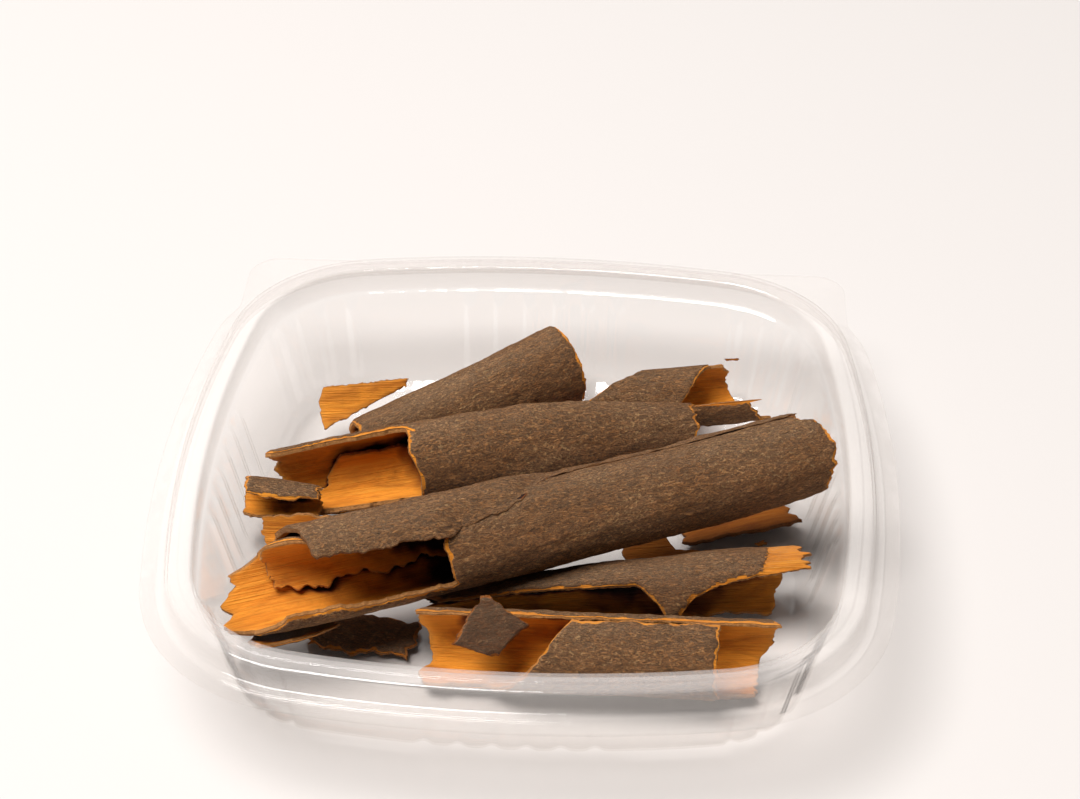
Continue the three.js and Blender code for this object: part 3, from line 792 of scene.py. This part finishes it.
def front_shell():
    """The large shell at the front right: a wavy broken edge with one pointed tongue."""
    broken = ((-30, 66), (-6, 60), (-1.5, 26), (1.2, -10), (6.5, 36), (12, 50), (18, 58), (34, 70))
    return {
        "from_centre": (12.09, -2.11, -1.13),
        "yaw": 6, "rise": 2, "radius": 9.6, "from": 0, "thickness": THIN_BARK,
        "taper": ((-53, 0.4), (-30, 0.72), (0, 0.93), (34, 1.02)), "end_fray": 1.0, "tone": 0.86,
        "bare": lambda s, v: 0.5 + 7.0 * smoothstep(s, 22, 27),
        "edges": (lambda s: eased(s, broken, 0.9), flat(100), lambda s: 258 + torn(s, 62, 6)),
        "bands": (
            {"start": uneven(-55, 63, 2), "stop": uneven(34, 64, 2.5)},
            {"start": uneven(-57, 65, 2), "stop": sloped(34, 27, 66, 2)}),
    }


def front_quill():
    """The quill at the very front: its left front is torn away, so its back stands alone."""
    return {
        "from_centre": (-0.9, 0.36, -0.42),
        "yaw": 0.2, "rise": 0, "radius": 8.3, "grow": 1.6, "from": 114, "thickness": THIN_BARK,
        "split": lambda band, share: np.where(band == 1, lerp(-24, -5, share), -5),
        "edges": (
            lambda s: 115 + torn(s, 71, 3),
            lambda s: 300 + torn(s, 72, 6),
            lambda s: 450 + torn(s, 73, 2)),
        "bands": (
            {"start": uneven(-40, 73, 2.5), "stop": sloped(43, 38, 74, 1.5)},
            {"start": flat(-36), "stop": uneven(29, 75, 1), "open": "before"}),
    }


def top_flake():
    """A lozenge of bark lying askew over the front quill."""
    return {
        "from_centre": (-4.11, 18.37, -22.6),
        "yaw": 14, "rise": 3, "radius": 30, "from": 50, "thickness": THIN_BARK, "cell": 0.4,
        "wave": 0.5, "tone": 0.32, "edges": (flat(37), flat(64)),
        "bands": ({"start": lambda t: along(t, ((0, -0.8), (0.3, -9), (1, -1))),
                   "stop": lambda t: along(t, ((0, 0.8), (0.4, 8.6), (1, 1.2)))},),
    }


def floor_flake():
    """The flake on the floor in front, outer face up."""
    return {
        "from_centre": (0.75, -0.12, -23.41),
        "yaw": -6, "rise": 0, "radius": 24, "from": 90, "thickness": THIN_BARK, "wave": 0.4,
        # painted shade: this flake lies in shadow, so its whole colour is darkened
        "tone": 0.6, "end_fray": 0.4,
        "edges": (lambda s: 76 + torn(s, 81, 3), lambda s: 106 + torn(s, 82, 3)),
        "bands": ({"start": uneven(-13, 83, 2), "stop": uneven(12, 84, 1.5)},),
    }


def right_splinter():
    """A splinter on the floor under the long quill's right half, inner face up."""
    return {
        "from_centre": (-2.53, -0.59, 16.22),
        "yaw": 17, "rise": 2.4, "radius": 17, "from": 270, "thickness": THIN_BARK, "wave": 0.4,
        # painted shade: this splinter lies in shadow under the long quill, so its whole colour is darkened
        "tone": 0.42,
        "edges": (lambda s: 246 + torn(s, 91, 4), lambda s: 292 + torn(s, 92, 4)),
        "bands": ({"start": uneven(-13, 93, 2), "stop": uneven(15, 94, 2)},),
    }


def inner_splinter():
    """The splinter beside it, further under."""
    return {
        "from_centre": (1.5, -1.22, 7.88),
        "yaw": 10, "rise": 0, "radius": 11, "from": 270, "thickness": THIN_BARK, "wave": 0.4,
        # painted shade: this splinter lies in deep shadow, so its whole colour is darkened
        "tone": 0.45,
        "edges": (lambda s: along(s, ((-14, 204), (-5, 212), (-2, 246), (11, 250))) + torn(s, 95, 3),
                  lambda s: 286 + torn(s, 96, 5)),
        "bands": ({"start": uneven(-14, 97, 2), "stop": uneven(11, 98, 2)},),
    }


def lower_flake():
    """A flake split off below the left end of the long quill."""
    return {
        "from_centre": (54.27, 25.69, 13.96),
        "yaw": 21.6, "rise": 2.4, "radius": 13.2, "from": 270, "thickness": 1.2, "cell": 0.45,
        "wave": 0.4,
        "edges": (flat(272), lambda s: along(s, ((-70, 300), (-62, 320), (-50, 296)))),
        "bands": ({"start": uneven(-70, 101, 1.2), "stop": uneven(-51, 102, 1.5)},),
    }


def floor_crumb():
    """A crumb on the floor."""
    return {
        "from_centre": (0, -0.07, -2.14),
        "yaw": 30, "rise": 0, "radius": 2.2, "from": 90, "thickness": 0.8, "cell": 0.2,
        "wave": 0.2, "end_fray": 0.25,
        "edges": (flat(70), lambda s: 112 + torn(s, 103, 8)),
        "bands": ({"start": uneven(-1.2, 104, 0.3), "stop": uneven(1.1, 105, 0.3)},),
    }


def wall_sliver():
    """A sliver of skin against the back wall."""
    return {
        "from_centre": (-0.13, -4.32, -2.49),
        "yaw": -12, "rise": 14, "radius": 5, "from": 150, "thickness": 0.6, "cell": 0.2,
        "wave": 0.2, "end_fray": 0.25,
        "edges": (flat(142), flat(156)),
        "bands": ({"start": uneven(-1.8, 106, 0.3), "stop": uneven(1.6, 107, 0.3)},),
    }


PIECES = (
    ("quill_long", long_quill, "outer_bark"),
    ("quill_middle", middle_quill, "outer_bark"),
    ("curl_left", small_curl, "outer_bark"),
    ("trough_left", left_trough, "inner_bark"),
    ("flake_back", back_flake, "inner_bark"),
    ("quill_back", back_quill, "outer_bark"),
    ("quill_right", right_quill, "outer_bark"),
    ("shell_front", front_shell, "outer_bark"),
    ("quill_front", front_quill, "outer_bark"),
    ("flake_top", top_flake, "outer_bark"),
    ("flake_floor", floor_flake, "outer_bark"),
    ("splinter_right", right_splinter, "inner_bark"),
    ("splinter_inner", inner_splinter, "inner_bark"),
    ("flake_under", lower_flake, "inner_bark"),
    ("crumb_floor", floor_crumb, "inner_bark"),
    ("sliver_wall", wall_sliver, "outer_bark"),
)


def sky_directions(count):
    """Directions spread evenly over the upper half of a sphere, most of them steep."""
    turn = math.pi * (3 - math.sqrt(5))
    heights = [math.sqrt((i + 0.5) / count) for i in range(count)]
    return [Vector((math.cos(i * turn) * math.sqrt(1 - z * z), math.sin(i * turn) * math.sqrt(1 - z * z), z))
            for i, z in enumerate(heights)]


def shade_hollows(pieces):
    """Stores how much sky each point sees, for the painted shade that darkens hollows while open faces stay
    bright.
    """
    vertices, polygons = [], []
    for piece in pieces:
        first = len(vertices)
        vertices += [vertex.co for vertex in piece.data.vertices]
        polygons += [[first + number for number in polygon.vertices] for polygon in piece.data.polygons]
    tree = BVHTree.FromPolygons(vertices, polygons)
    directions = sky_directions(SKY_RAYS)
    for piece in pieces:
        cells, mesh = {}, piece.data
        for vertex in mesh.vertices:
            place = tuple(round(x / SKY_CELL) for x in vertex.co)
            facing = tuple(round(2 * x) for x in vertex.normal)
            cells.setdefault(place + facing, []).append(vertex.index)
        sky = np.ones(len(mesh.vertices))
        for numbers in cells.values():
            vertex = mesh.vertices[numbers[len(numbers) // 2]]
            start = vertex.co + vertex.normal * 0.4 * MM
            seen = total = 0.0
            for direction in directions:
                weight = max(0.0, direction.dot(vertex.normal)) + 0.15
                total += weight
                if tree.ray_cast(start, direction, SKY_REACH)[0] is None:
                    seen += weight
            sky[numbers] = seen / total
        attribute = mesh.attributes.new("sky", "FLOAT", "POINT")
        attribute.data.foreach_set("value", smoothed(mesh, sky))


def smoothed(mesh, values, rounds=6):
    """Values averaged with their neighbours' a few times."""
    edges = np.zeros(2 * len(mesh.edges), int)
    mesh.edges.foreach_get("vertices", edges)
    first, second = edges[::2], edges[1::2]
    count = np.bincount(edges, minlength=len(values)) + 1
    for _ in range(rounds):
        total = values + np.bincount(first, values[second], len(values))
        values = (total + np.bincount(second, values[first], len(values))) / count
    return values


bark_pieces = [bark_piece(piece_name, piece_sheet(), 11 + 7 * piece_index)
               for piece_index, (piece_name, piece_sheet, piece_slot) in enumerate(PIECES)]
shade_hollows(bark_pieces)

# ------------------------------------------------------------------ the clear tray
# A formed sheet: base, fluted walls, a shoulder, a plug band, a flat ring, a skirt and a
# flange with squared tabs at the two back corners. Outlines are arcs on shared centres.

TRAY_HEIGHT = 34.4
SHEET = 0.6
RING_HALF = 84.0
SIDE_RADIUS = 306.0
CORNER_RADIUS = 37.6
RING_WIDTH = 6.5
PLUG_DEPTH = 6.6
SKIRT_DEPTH = 6.4
FLANGE_WIDTH = 6.1
FLANGE_STEP = 2.5
WALL_TOP_HALF = 76.8
WALL_FOOT_HALF = 71.4
WALL_FOOT_Z = 3.2
BASE_HALF = 66.5
FLUTE_DEPTH = 1.3
FLUTE_WIDTH = 4.4
FLUTE_PITCH = 8.0
FLUTES_PER_SIDE = 6
FLUTES_PER_CORNER = 4
FLUTE_CAP = 4.0
TAB_HALF_X = 81.2
TAB_HALF_Y = 87.6
TAB_RADIUS = 8.0
STATION = 0.8              # mesh size round the tray
STEP = 0.3                 # height of the small steps in the ring and the flange
WALL_MILK = 0.012          # cloudiness of the clear walls and floor
UPPER_HAZE_AND_REFLECTION = 0.12          # more of it above the skirt's foot, partly painted reflection
RIM_HAZE_AND_REFLECTION = 0.04            # and more along the rim, partly painted reflection
FLANGE_HAZE_AND_REFLECTION = 0.05         # and on the flange, partly painted reflection

SIDE_CENTRE = RING_HALF - SIDE_RADIUS


def corner_centre():
    reach = SIDE_RADIUS - CORNER_RADIUS
    return (SIDE_CENTRE + math.sqrt(2 * reach * reach - SIDE_CENTRE * SIDE_CENTRE)) / 2


CORNER_CENTRE = corner_centre()
CORNER_START = math.atan2(CORNER_CENTRE, CORNER_CENTRE - SIDE_CENTRE)
SIDE_REACH = CORNER_START * (WALL_TOP_HALF - SIDE_CENTRE)
CORNER_REACH = (math.pi / 4 - CORNER_START) * (CORNER_RADIUS - (RING_HALF - WALL_TOP_HALF))


def quarter_outline(reach, half):
    """Points of the quarter outline round +X, at wall lengths reach from its middle."""
    beyond = np.clip((np.abs(reach) - SIDE_REACH) / CORNER_REACH, 0, 1)
    corner_turn = CORNER_START + (math.pi / 4 - CORNER_START) * beyond
    side_turn = np.clip(reach / (WALL_TOP_HALF - SIDE_CENTRE), -CORNER_START, CORNER_START)
    side_radius = half - SIDE_CENTRE
    corner_radius = CORNER_RADIUS - (RING_HALF - half)
    on_corner = beyond > 0
    x = np.where(on_corner, CORNER_CENTRE + corner_radius * np.cos(corner_turn),
                 SIDE_CENTRE + side_radius * np.cos(side_turn))
    y = np.where(on_corner, np.sign(reach) * (CORNER_CENTRE + corner_radius * np.sin(corner_turn)),
                 side_radius * np.sin(side_turn))
    return x, y


def flute_centres():
    centres = [(i - (FLUTES_PER_SIDE - 1) / 2) * FLUTE_PITCH for i in range(FLUTES_PER_SIDE)]
    pitch = 2 * CORNER_REACH / FLUTES_PER_CORNER
    for i in range(FLUTES_PER_CORNER // 2):
        centre = SIDE_REACH + (i + 0.5) * pitch
        centres += [centre, -centre]
    return centres


def quarter_stations():
    count = math.ceil(2 * (SIDE_REACH + CORNER_REACH) / STATION)
    return np.linspace(-(SIDE_REACH + CORNER_REACH), SIDE_REACH + CORNER_REACH, count + 1)[:-1]


STATIONS = quarter_stations()
CRESTS = sum(smoothstep(1 - np.abs(STATIONS - centre) / (0.62 * FLUTE_WIDTH), 0, 1)
             for centre in flute_centres())


def ring(half, z, inset=0.0):
    """One level outline of the tray, with its flutes standing in by inset."""
    x, y = quarter_outline(STATIONS, half - inset * CRESTS)
    turns = ((x, y), (-y, x), (-x, -y), (y, -x))
    xs = np.concatenate([turn[0] for turn in turns])
    ys = np.concatenate([turn[1] for turn in turns])
    return np.stack([xs, ys, np.full(len(xs), z)], axis=-1)


def tab_reach(ux, uy):
    """How far the tab's edge is from the corner centre, in the direction (ux, uy)."""
    ax = TAB_HALF_X - TAB_RADIUS - CORNER_CENTRE
    ay = TAB_HALF_Y - TAB_RADIUS - CORNER_CENTRE
    to_side = (TAB_HALF_X - CORNER_CENTRE) / ux
    if to_side * uy <= ay:
        return to_side
    to_back = (TAB_HALF_Y - CORNER_CENTRE) / uy
    if to_back * ux <= ax:
        return to_back
    forward = ax * ux + ay * uy
    return forward + math.sqrt(forward * forward - ax * ax - ay * ay + TAB_RADIUS * TAB_RADIUS)


def flange_ring(z):
    """The flange's edge: the parallel outline, pushed out to squared tabs at the back."""
    points = ring(RING_HALF + FLANGE_WIDTH, z)
    for point in points:
        x, y = abs(point[0]), point[1]
        if y < 60 or x < 50:
            continue
        length = math.hypot(x - CORNER_CENTRE, y - CORNER_CENTRE)
        ux, uy = (x - CORNER_CENTRE) / length, (y - CORNER_CENTRE) / length
        reach = max(length, tab_reach(ux, uy))
        point[0] = math.copysign(CORNER_CENTRE + ux * reach, point[0])
        point[1] = CORNER_CENTRE + uy * reach
    return points


def tray_profile():
    """The outlines from the middle of the floor to the flange's edge, each with the radius
    its bend is rounded to."""
    top, shoulder, flange = TRAY_HEIGHT, TRAY_HEIGHT - PLUG_DEPTH, TRAY_HEIGHT - SKIRT_DEPTH
    plug = RING_HALF - RING_WIDTH
    kink_z = shoulder - FLUTE_CAP
    kink = lerp(WALL_FOOT_HALF, WALL_TOP_HALF, (kink_z - WALL_FOOT_Z) / (shoulder - WALL_FOOT_Z))
    middle = plug + 0.5 * RING_WIDTH
    step_z = flange + SHEET
    inner = [
        (ring(BASE_HALF - 8, SHEET + 0.05), 0), (ring(BASE_HALF - SHEET, SHEET), 2.0),
        (ring(WALL_FOOT_HALF - SHEET, WALL_FOOT_Z, FLUTE_DEPTH), 1.6),
        (ring(kink - SHEET, kink_z, FLUTE_DEPTH), 1.2),
        (ring(WALL_TOP_HALF - SHEET, shoulder - SHEET), 0.4), (ring(plug - SHEET / 2, shoulder), 0.4),
        (ring(plug, top), 1.1), (ring(middle, top), 0.15), (ring(middle + 0.35, top - STEP), 0.15),
        (ring(RING_HALF, top - STEP), 1.2), (ring(RING_HALF + SHEET / 2, step_z), 0.8),
        (ring(RING_HALF + FLANGE_STEP, step_z), 0.15),
        (ring(RING_HALF + FLANGE_STEP + 0.3, step_z - STEP), 0.15),
        (flange_ring(flange + SHEET / 2 - STEP), 0)]
    outer = [
        (ring(BASE_HALF - 8, 0.05), 0), (ring(BASE_HALF, 0), 2.0),
        (ring(WALL_FOOT_HALF, WALL_FOOT_Z, FLUTE_DEPTH), 1.6),
        (ring(kink, kink_z, FLUTE_DEPTH), 1.2),
        (ring(WALL_TOP_HALF, shoulder - SHEET), 0.4), (ring(plug + SHEET / 2, shoulder - SHEET / 2), 0.4),
        (ring(plug + SHEET, top - SHEET), 1.0),
        (ring(RING_HALF - SHEET, top - SHEET - STEP), 1.0), (ring(RING_HALF - SHEET / 2, flange), 0.8),
        (ring(RING_HALF + FLANGE_STEP, flange), 0.15),
        (ring(RING_HALF + FLANGE_STEP + 0.3, flange - STEP), 0.15),
        (flange_ring(flange - SHEET / 2 - STEP), 0)]
    return rounded(inner) + rounded(outer)[::-1]


def rounded(profile, steps=4):
    """Replaces each bend of the profile by a short curve that cuts its corner."""
    rings = []
    for index, (points, radius) in enumerate(profile):
        if not radius:
            rings.append(points)
            continue
        before, after = profile[index - 1][0] - points, profile[index + 1][0] - points
        reach_before = np.minimum(radius / np.linalg.norm(before, axis=1), 0.45)[:, None]
        reach_after = np.minimum(radius / np.linalg.norm(after, axis=1), 0.45)[:, None]
        for step in range(steps + 1):
            t = step / steps
            rings.append(points + (1 - t) ** 2 * reach_before * before + t * t * reach_after * after)
    return rings


def haze_and_reflection_share(points):
    """How much white diffuse layer the sheet gets: clear up to the skirt's foot, then more, most at rim and
    flange. Beyond a little cloudiness it is painted reflection of the bright surroundings.
    """
    out = np.max(np.abs(points[:, :2]), axis=1)
    rim = smoothstep(points[:, 2], TRAY_HEIGHT - 1.6, TRAY_HEIGHT - 0.4)
    flange = smoothstep(out, RING_HALF - 1, RING_HALF + 2) * (points[:, 2] < TRAY_HEIGHT - 4)
    skirt_foot = TRAY_HEIGHT - SKIRT_DEPTH
    upper = smoothstep(points[:, 2], skirt_foot - 0.8, skirt_foot + 1.2)
    return WALL_MILK + UPPER_HAZE_AND_REFLECTION * upper + RIM_HAZE_AND_REFLECTION * rim + FLANGE_HAZE_AND_REFLECTION * flange


def clear_tray():
    rings = tray_profile()
    count = len(rings[0])
    points = np.concatenate(rings)
    faces = []
    for level in range(len(rings) - 1):
        for i in range(count):
            a, b = level * count + i, level * count + (i + 1) % count
            faces.append((a, b, b + count, a + count))
    floor = list(range(count))
    base = [(len(rings) - 1) * count + i for i in range(count)]
    faces += [floor[::-1], base]
    mesh = bpy.data.meshes.new("clear_tray")
    mesh.from_pydata((points * MM).tolist(), [], faces)
    mesh.polygons.foreach_set("use_smooth", [True] * len(faces))
    mesh.update()
    mesh.set_sharp_from_angle(angle=40 * RAD)
    tray = bpy.data.objects.new("clear_tray", mesh)
    bpy.context.scene.collection.objects.link(tray)
    mesh.materials.append(CLEAR_PLASTIC)
    haze_and_reflection = mesh.attributes.new("haze_and_reflection", "FLOAT", "POINT")
    haze_and_reflection.data.foreach_set("value", haze_and_reflection_share(points))
    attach(tray, "root")
    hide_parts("tray")


clear_tray()

# ------------------------------------------------------------------ floor, light and camera

FLOOR_SIZE = 6.0
CAMERA_FROM_BASE = Vector((26.96, -435.41, 382.0)) * MM
CAMERA_LOOK = Vector((-0.04369, 0.79367, -0.60678))
CAMERA_ROLL = -0.173 * RAD
CAMERA_LENS = 76.46
KEY_PLACE = (-0.7, -0.25, 2.15)
KEY_SIZE = 1.5
KEY_POWER = 80.0
BACK_PLACE = (-0.1, 1.35, 1.1)
BACK_SIZE = 1.2
BACK_POWER = 2.4
ROOM_LIGHT = 0.07


def pale_floor(height):
    n = Nodes("pale_floor")
    shader = n.add("BsdfPrincipled")
    n.set(shader, "Base Color", (0.70, 0.665, 0.645, 1))
    n.set(shader, "Roughness", 0.8)
    n.set(shader, "Specular IOR Level", 0.2)
    material = n.surface(shader.outputs[0])
    bpy.ops.mesh.primitive_plane_add(size=FLOOR_SIZE, location=(0, 0, height))
    floor = bpy.context.object
    floor.name = "floor"
    floor.data.materials.append(material)


def area_light(name, place, target, size, power, colour):
    data = bpy.data.lights.new(name, "AREA")
    data.shape = "DISK"
    data.size = size
    data.energy = power
    data.color = colour
    light = bpy.data.objects.new(name, data)
    light.location = place
    light.rotation_euler = (Vector(target) - Vector(place)).to_track_quat("-Z", "Y").to_euler()
    bpy.context.scene.collection.objects.link(light)


def studio_world(colour, strength):
    world = bpy.data.worlds.new("studio")
    bpy.context.scene.world = world
    world.use_nodes = True
    background = world.node_tree.nodes["Background"]
    background.inputs["Color"].default_value = (*colour, 1)
    background.inputs["Strength"].default_value = strength


def photo_camera(base):
    data = bpy.data.cameras.new("camera")
    data.sensor_fit = "HORIZONTAL"
    data.sensor_width = 36.0
    data.lens = CAMERA_LENS
    camera = bpy.data.objects.new("camera", data)
    right = CAMERA_LOOK.cross(Vector((0, 0, 1))).normalized()
    up = right.cross(CAMERA_LOOK).normalized()
    turn = Matrix.Rotation(CAMERA_ROLL, 3, CAMERA_LOOK)
    right, up = turn @ right, turn @ up
    matrix = Matrix((right, up, -CAMERA_LOOK.normalized())).transposed().to_4x4()
    matrix.translation = base + CAMERA_FROM_BASE
    camera.matrix_world = matrix
    bpy.context.scene.collection.objects.link(camera)
    bpy.context.scene.camera = camera


low_corner, high_corner = cad_box
base_centre = Vector(((low_corner.x + high_corner.x) / 2, (low_corner.y + high_corner.y) / 2,
                      low_corner.z))
pale_floor(base_centre.z - 0.0001)
area_light("key", KEY_PLACE, base_centre, KEY_SIZE, KEY_POWER, (1.0, 0.985, 0.97))
area_light("back", BACK_PLACE, base_centre, BACK_SIZE, BACK_POWER, (1.0, 0.99, 0.98))
studio_world((1.0, 0.985, 0.975), ROOM_LIGHT)
photo_camera(base_centre)
bpy.context.scene.view_settings.view_transform = "Standard"
bpy.context.scene.view_settings.look = "None"
